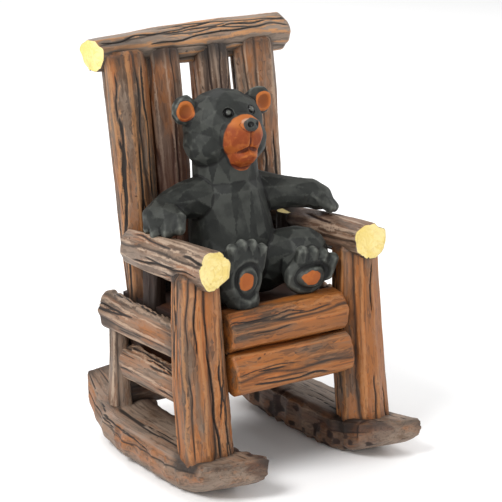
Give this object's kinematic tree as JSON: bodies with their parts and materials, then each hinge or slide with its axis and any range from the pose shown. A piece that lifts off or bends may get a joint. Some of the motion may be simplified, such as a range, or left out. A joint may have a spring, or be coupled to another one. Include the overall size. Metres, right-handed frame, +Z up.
{
  "type": "bear figurine in a rocking chair",
  "caption": "Cast figurine of a bear sitting in a rocking chair of rough logs, its paws on the chair's arms.",
  "frame": {"origin": "on the surface that the rockers stand on, under the middle of the figurine's outer sizes", "axes": "+Z up, -Y the way the bear faces, +X towards the bear's left hand"},
  "size_m": [0.0686, 0.0707, 0.1111],
  "materials": {
    "painted_log": "cast resin painted as orange-brown logs, with a grey-mauve wash, dark grain grooves, pale dry-brushed edges and pale yellow cut ends",
    "charcoal_paint": "cast resin painted charcoal with grey dry-brushed facets, an orange-brown muzzle, ear hollows and sole pads"
  },
  "bodies": {
    "root": {"rocking_chair": "painted_log", "bear": "charcoal_paint"}
  },
  "joints": []
}
